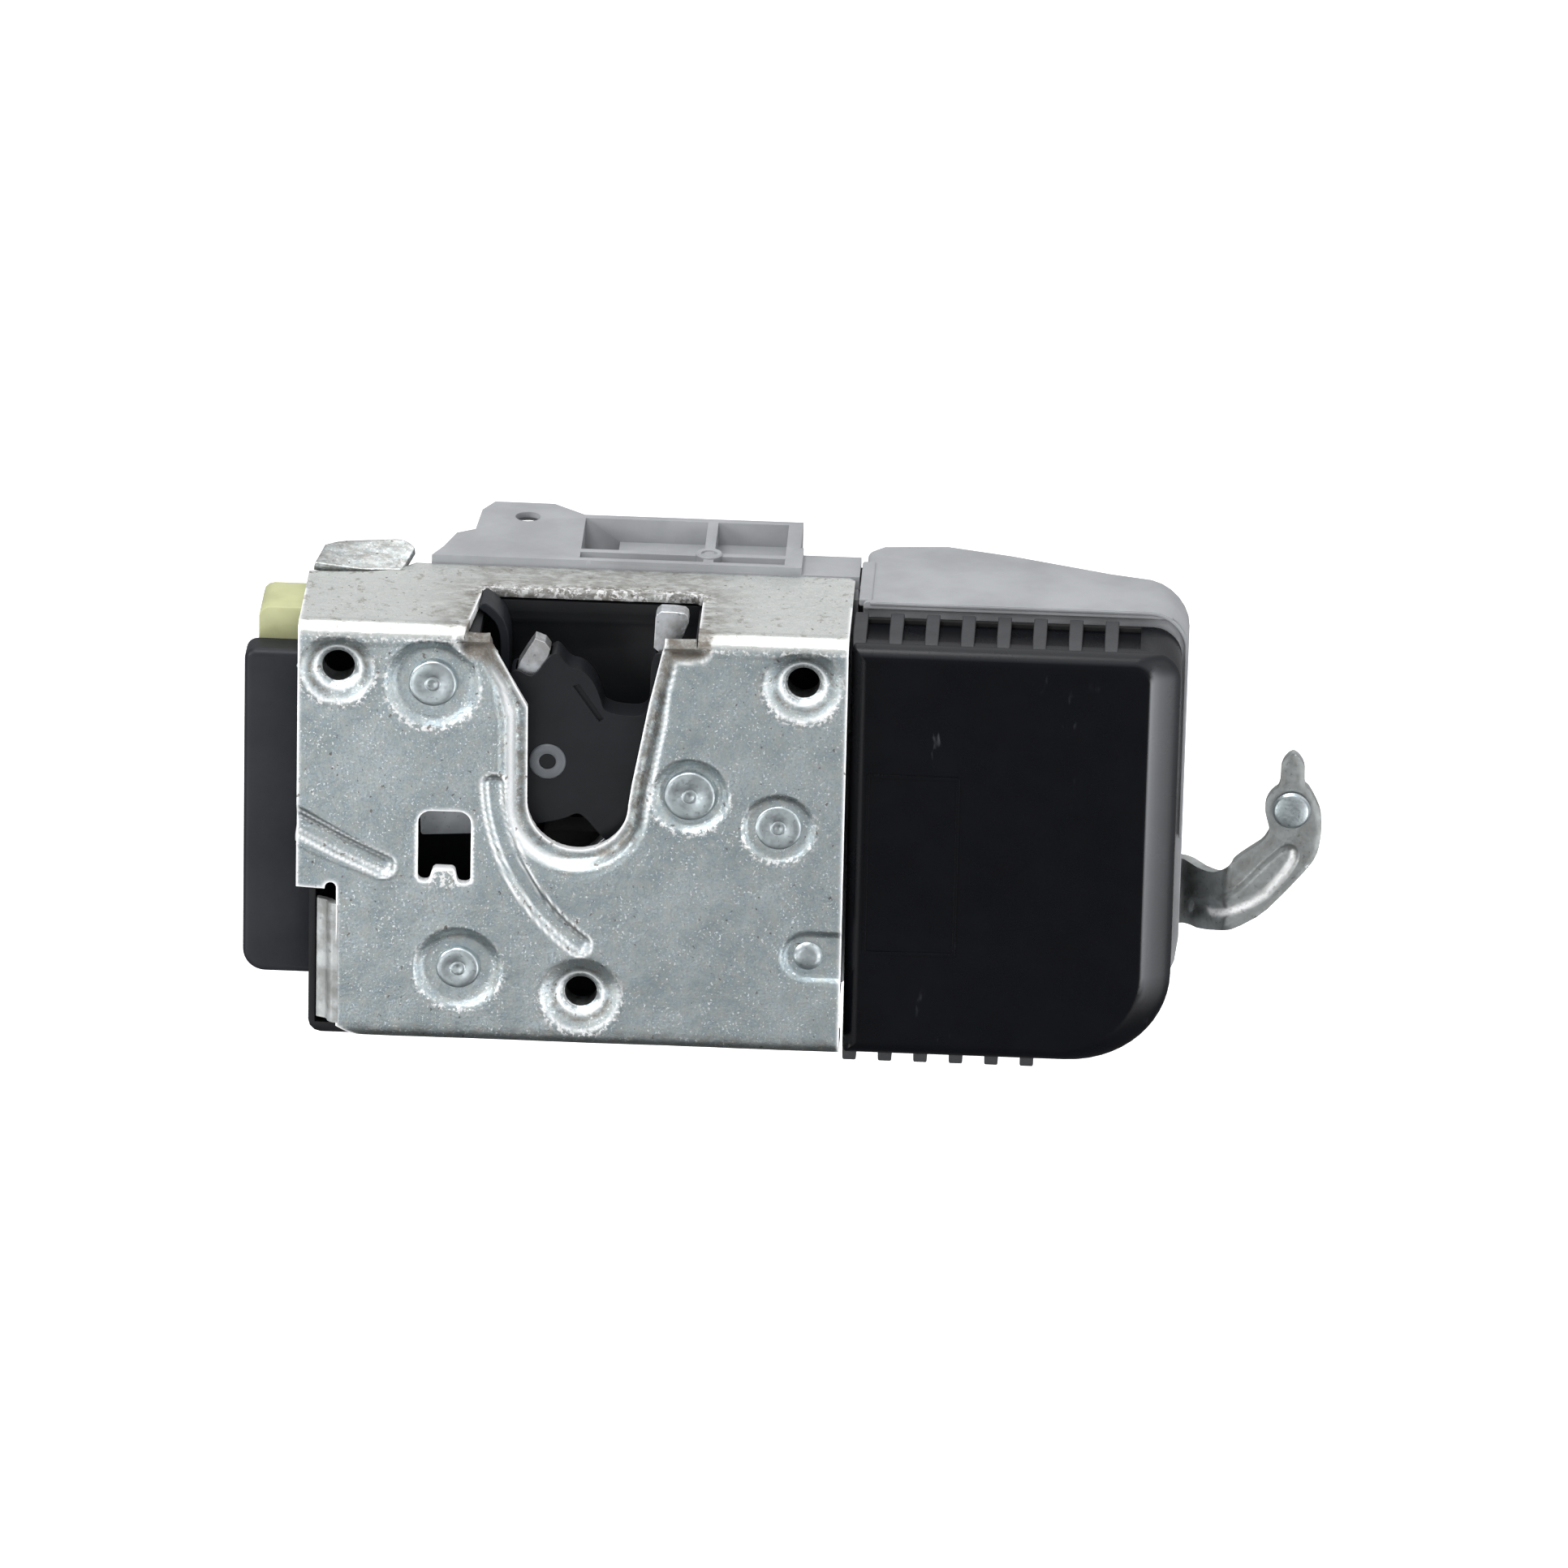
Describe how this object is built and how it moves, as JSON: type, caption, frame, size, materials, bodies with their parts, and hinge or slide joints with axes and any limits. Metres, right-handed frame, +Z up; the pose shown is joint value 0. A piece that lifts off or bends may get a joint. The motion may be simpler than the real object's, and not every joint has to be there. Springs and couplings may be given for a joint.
{
  "type": "vehicle door latch",
  "caption": "Side-door latch with a sprung fork claw behind a pressed steel striker plate, and a geared electric actuator that swings a lock-rod lever.",
  "frame": {"origin": "on the plate's mounting face, below the striker slot, midway between the slot and the lower fixing thread", "axes": "+X along the latch towards the lock lever, -Y out of the mounting face, +Z up"},
  "size_m": [0.1663, 0.0512, 0.0737],
  "materials": {
    "zinc_steel": "zinc-plated pressed steel, slightly stained",
    "bare_steel": "plain steel, satin",
    "lever_steel": "zinc-plated steel, olive tint",
    "spring_steel": "oiled spring wire",
    "black_plastic": "satin black moulding",
    "case_plastic": "matt black moulding",
    "grey_plastic": "matt grey moulding",
    "jacket_plastic": "dark slate moulding",
    "natural_nylon": "natural nylon, yellowed",
    "gear_plastic": "natural acetal",
    "brass": "plain",
    "rubber": "matt"
  },
  "bodies": {
    "latch": {"actuator_cover": "black_plastic", "actuator_housing": "grey_plastic", "case_rivet": "bare_steel", "claw_pin": "bare_steel", "claw_spring": "spring_steel", "connector_pins": "brass", "connector_shell": "black_plastic", "cover_screw_1": "bare_steel", "cover_screw_2": "bare_steel", "cover_screw_3": "bare_steel", "cover_seal": "rubber", "latch_case": "case_plastic", "latch_plate": "zinc_steel", "main_housing": "grey_plastic", "microswitch": "case_plastic", "motor_can": "zinc_steel", "motor_cap": "case_plastic", "pawl_pin": "bare_steel", "pawl_spring": "spring_steel", "rear_cover": "black_plastic", "rear_plate": "zinc_steel", "rear_screw_1": "bare_steel", "rear_screw_2": "bare_steel", "rear_screw_3": "bare_steel", "release_pin": "bare_steel", "release_spring": "spring_steel", "side_cover": "black_plastic", "slot_bumper": "rubber", "spacer_stud": "bare_steel", "wheel_axle": "bare_steel"},
    "claw": {"claw_core": "bare_steel", "claw_jacket": "jacket_plastic"},
    "pawl": {"pawl_lever": "bare_steel", "pawl_buffer": "rubber"},
    "release_lever": {"release_lever": "lever_steel", "release_end": "natural_nylon"},
    "lock_lever": {"lock_lever": "lever_steel", "rod_pin": "bare_steel", "output_shaft": "bare_steel", "sector_gear": "gear_plastic", "shaft_clip": "spring_steel"},
    "gear_wheel": {"worm_wheel": "gear_plastic"},
    "motor_rotor": {"motor_shaft": "bare_steel", "worm": "brass"}
  },
  "joints": [
    {"name": "claw_turn", "type": "hinge", "parent": "latch", "child": "claw", "pos_m": [0.0166, 0.0086, 0.0206], "axis": [0, -1, 0], "range_deg": [0, 65], "stiffness_Nm_per_rad": 0.05, "springref_deg": -34.38},
    {"name": "pawl_turn", "type": "hinge", "parent": "latch", "child": "pawl", "pos_m": [-0.0187, 0.0087, -0.0095], "axis": [0, -1, 0], "range_deg": [-4, 8], "stiffness_Nm_per_rad": 0.15},
    {"name": "release_turn", "type": "hinge", "parent": "latch", "child": "release_lever", "pos_m": [-0.0231, 0.014, 0.0377], "axis": [0, -1, 0], "range_deg": [0, 12], "stiffness_Nm_per_rad": 0.06, "springref_deg": -17.19},
    {"name": "lock_turn", "type": "hinge", "parent": "latch", "child": "lock_lever", "pos_m": [0.07995, 0.0294, -0.00385], "axis": [0, 1, 0], "range_deg": [0, 20]},
    {"name": "wheel_turn", "type": "hinge", "parent": "latch", "child": "gear_wheel", "pos_m": [0.0745, 0.0165, 0.0185], "axis": [0, -1, 0], "range_deg": [0, 72]},
    {"name": "motor_turn", "type": "hinge", "parent": "latch", "child": "motor_rotor", "pos_m": [0.057, 0.0165, 0.0185], "axis": [0, 0, 1], "range_deg": [0, 1008]}
  ],
  "couplings": [
    {"joint": "wheel_turn", "follows": "lock_turn", "ratio": 3.6},
    {"joint": "motor_turn", "follows": "lock_turn", "ratio": 50.4}
  ]
}
